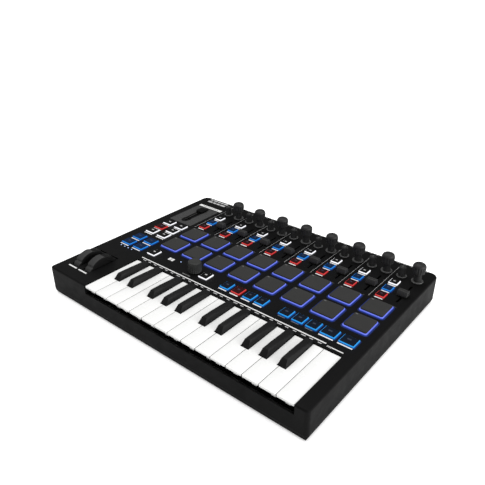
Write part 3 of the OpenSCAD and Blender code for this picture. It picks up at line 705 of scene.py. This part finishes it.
# the dark band round the plate's slot: painted shade for the recessed slot and its end dishes
slot_x, slot_y = middle(box("plate_fader"))
plate_low, plate_high = box("fader_plate")
travel = next(j for j in frame["joints"] if j["child"] == "plate_fader")["range_m"]
channel_low, channel_high = slot_y + travel[0] / MM, slot_y + travel[1] / MM
channel_y = (channel_low + channel_high) / 2
CHANNEL_INNER, CHANNEL_OUTER, CHANNEL_END_ROOM = 4.4, 10.0, 2.2
channel_section = ((CHANNEL_INNER, plate_high.z - 0.2), (CHANNEL_INNER, plate_high.z + 0.05),
                   (CHANNEL_OUTER, plate_high.z + 0.05), (CHANNEL_OUTER, plate_high.z - 0.2))
channel = bmesh.new()
loft(channel, [rounded_loop(slot_x, channel_y, z, w, channel_high - channel_low + w + CHANNEL_END_ROOM, w / 2)
               for w, z in channel_section], ring=True)
publish("plate_slot_painted_shade", channel, "base", cap_plastic_and_slot_shade)


# ---------------------------------------------------------------- printed marks on the deck

INK = 0.05  # how far a printed mark stands above the deck
white_marks, grey_marks, logo_print_and_painted_highlight_marks = bmesh.new(), bmesh.new(), bmesh.new()


def mark(mesh, x0, x1, y0, y1, z=DECK):
    plain_block(mesh, (x0, y0, z - 0.15), (x1, y1, z + INK))


def greeked(mesh, x0, x1, y, height, gap, words):
    """A line of plain bars, where the real thing has a printed word."""
    total = sum(words)
    x = x0
    for count in words:
        w = (x1 - x0) * count / total - gap
        mark(mesh, x, x + w, y - height / 2, y + height / 2)
        x += w + gap


# the line behind the keys, and its short end piece
line_y = key_back + 7.0
mark(white_marks, key_left + 0.15, key_left + 192.6, line_y - 0.7, line_y + 0.7)
mark(white_marks, key_left + 193.4, key_right - 19.9, line_y - 0.7, line_y + 0.7)
mark(white_marks, key_right - 17.6, key_right - 0.9, line_y - 2.8, line_y - 1.6)
for i in range(28):
    x = key_left + 5.6 + i * 9.2
    mark(logo_print_and_painted_highlight_marks, x, x + (3.8 if i % 3 else 5.2), line_y - 3.4, line_y - 2.3)

# channel strips: thin lines between them and across their fronts
channel_xs = [middle(channel_places[3 * i])[0] for i in range(8)]
channel_front = channel_places[0][0].y - 5.6
channel_pitch = channel_xs[1] - channel_xs[0]
for x in channel_xs:
    mark(logo_print_and_painted_highlight_marks, x - 10.45, x - 10.15, channel_front + 2.6, channel_front + 82.0)
    mark(grey_marks, x + 2.0, x + channel_pitch - 14.0, channel_front - 0.15, channel_front + 0.15)

# labels in front of the lit buttons
for low, high in channel_places:
    x = middle((low, high))[0]
    mark(white_marks, x - 4.7, x + 4.5, low.y + FLANGE - 2.4, low.y + FLANGE - 0.8)
for n, (low, high) in enumerate(deck_places):
    x = middle((low, high))[0]
    front = low.y + FLANGE
    half = (high.x - low.x) / 2 - FLANGE
    if n < 10 or 12 <= n <= 15 or n >= 19:
        mark(white_marks, x - half, x + half - 0.5, front - 2.4, front - 0.8)
    elif n >= 16:
        greeked(grey_marks, x - half * 0.8, x + half * 0.6, front - 1.6, 0.9, 0.4, (3, 2))

# words and icons become plain bars and dots
greeked(white_marks, encoder_x - 43.5, encoder_x - 35.0, encoder_y + 1.5, 5.0, 0.7, (2, 1, 2))
greeked(grey_marks, encoder_x - 8.0, encoder_x + 4.5, encoder_y - 12.0, 1.4, 0.5, (3, 2, 3))
mark(white_marks, plate_low.x, plate_high.x + 1.5, plate_high.y + 2.0, plate_high.y + 7.0)
for i in range(9):
    x = plate_low.x + 7.0 + i * 3.1
    mark(grey_marks, x, x + 1.7, plate_high.y + 3.6, plate_high.y + 5.4, DECK + 0.03)
logo_x, logo_y = case_low.x + 13.5, case_high.y - 11.7
greeked(logo_print_and_painted_highlight_marks, logo_x, logo_x + 33.0, logo_y + 6.5, 3.8, 1.5, (2, 3, 2, 2, 3))
greeked(logo_print_and_painted_highlight_marks, logo_x, logo_x + 33.0, logo_y, 3.8, 1.5, (3, 2, 2, 3))
# short pale dashes along the back edge of the deck, a painted highlight on the edge's rounding
for i in range(34):
    x = case_low.x + 52.0 + i * 8.6
    mark(logo_print_and_painted_highlight_marks, x, x + 4.0 + 1.7 * math.sin(i * 2.4), case_high.y - 3.3, case_high.y - 2.8)
wheels_x = (box("pitch_wheel")[0].x + box("mod_wheel")[1].x) / 2
for x in (wheels_x - 9.7, wheels_x + 8.2):
    mark(white_marks, x - 7.2, x + 7.2, key_front + 15.0, key_front + 16.8)

publish("printed_white", white_marks, "base", white_ink)
publish("printed_grey", grey_marks, "base", grey_ink)
# these silver marks hold the print and the painted highlight dashes along the deck's back edge
publish("logo_print_and_painted_highlight", logo_print_and_painted_highlight_marks, "base", silver_ink_and_highlight_paint)

# small status lights
lamps = bmesh.new()
left_low = deck_places[0][0]
lamp_places = [(left_low.x + 6.0 + 6.4 * i, left_low.y - 4.4) for i in range(4)]
lamp_places.append((encoder_x - 26.5, encoder_y + 4.3))
lamp_profile = [(0.8, DECK - 0.2), (0.8, DECK + 0.1), (0.6, DECK + 0.25), (0.3, DECK + 0.3)]
for x, y in lamp_places:
    turned(lamps, x, y, lamp_profile, steps=20)
publish("status_lamps", lamps, "base", lamp_light)


# ---------------------------------------------------------------- stage, light and camera

bpy.ops.mesh.primitive_plane_add(size=40)
floor = bpy.context.object
floor.name = "floor"
floor.data.materials.append(paper("floor_paper"))
floor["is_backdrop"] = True

# world light by the kind of ray that meets it, and overhead and side lamps in watts
SEEN_SKY, DIFFUSE_SKY = 1.3, 0.62
MIRRORED_SKY, MIRRORED_RIGHT, MIRRORED_LEFT = 0.08, 0.7, 0.35
OVERHEAD_POWER, SIDE_POWER = 12.0, 11.0

# the camera solved from the photograph: place in metres, lens and sensor in millimetres
CAMERA_PLACE = (0.32622, -0.39566, 0.34213)
CAMERA_AIM = (-0.56107, 0.68234, -0.46862)
LENS, SENSOR = 39.36, 36.0

world = bpy.data.worlds.new("studio")
bpy.context.scene.world = world
world.use_nodes = True
sky = world.node_tree
sky.nodes.clear()
path = add_node(sky, "LightPath").outputs
aim = add_node(sky, "SeparateXYZ", Vector=add_node(sky, "TexCoord").outputs["Generated"]).outputs
from_right = add_node(sky, "MapRange", Value=aim[0], From_Min=0.25, From_Max=0.6).outputs[0]
from_left = add_node(sky, "MapRange", Value=aim[0], From_Min=-0.55, From_Max=-0.85).outputs[0]
sides = calc(sky, "ADD", calc(sky, "MULTIPLY", from_right, MIRRORED_RIGHT),
             calc(sky, "MULTIPLY", from_left, MIRRORED_LEFT))
mirrored = calc(sky, "ADD", MIRRORED_SKY, sides)
strength = calc(sky, "ADD", calc(sky, "MULTIPLY", path["Is Camera Ray"], SEEN_SKY),
                calc(sky, "MULTIPLY", path["Is Diffuse Ray"], DIFFUSE_SKY))
strength = calc(sky, "ADD", strength, calc(sky, "MULTIPLY", path["Is Glossy Ray"], mirrored))
backdrop = add_node(sky, "Background", Color=(1.0, 1.0, 1.0, 1.0), Strength=strength)
sky_out = add_node(sky, "OutputWorld")
sky.links.new(backdrop.outputs[0], sky_out.inputs[0])


def soft_light(name, place, target, size, power):
    data = bpy.data.lights.new(name, "AREA")
    data.shape = "RECTANGLE"
    data.size, data.size_y = size
    data.energy = power
    light = bpy.data.objects.new(name, data)
    bpy.context.scene.collection.objects.link(light)
    light.location = place
    light.rotation_mode = "QUATERNION"
    light.rotation_quaternion = (Vector(target) - Vector(place)).to_track_quat("-Z", "Y")


soft_light("overhead", (-0.3, 0.2, 1.5), (0, 0, 0), (1.6, 1.2), OVERHEAD_POWER)
soft_light("right_side", (1.5, 0.1, 0.5), (0.1, 0, 0), (1.2, 0.8), SIDE_POWER)

camera_data = bpy.data.cameras.new("camera")
camera_data.lens = LENS
camera_data.sensor_width = SENSOR
camera = bpy.data.objects.new("camera", camera_data)
bpy.context.scene.collection.objects.link(camera)
camera.location = CAMERA_PLACE
camera.rotation_mode = "QUATERNION"
camera.rotation_quaternion = Vector(CAMERA_AIM).to_track_quat("-Z", "Y")
bpy.context.scene.camera = camera
bpy.context.scene.view_settings.view_transform = "Standard"

low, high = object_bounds()
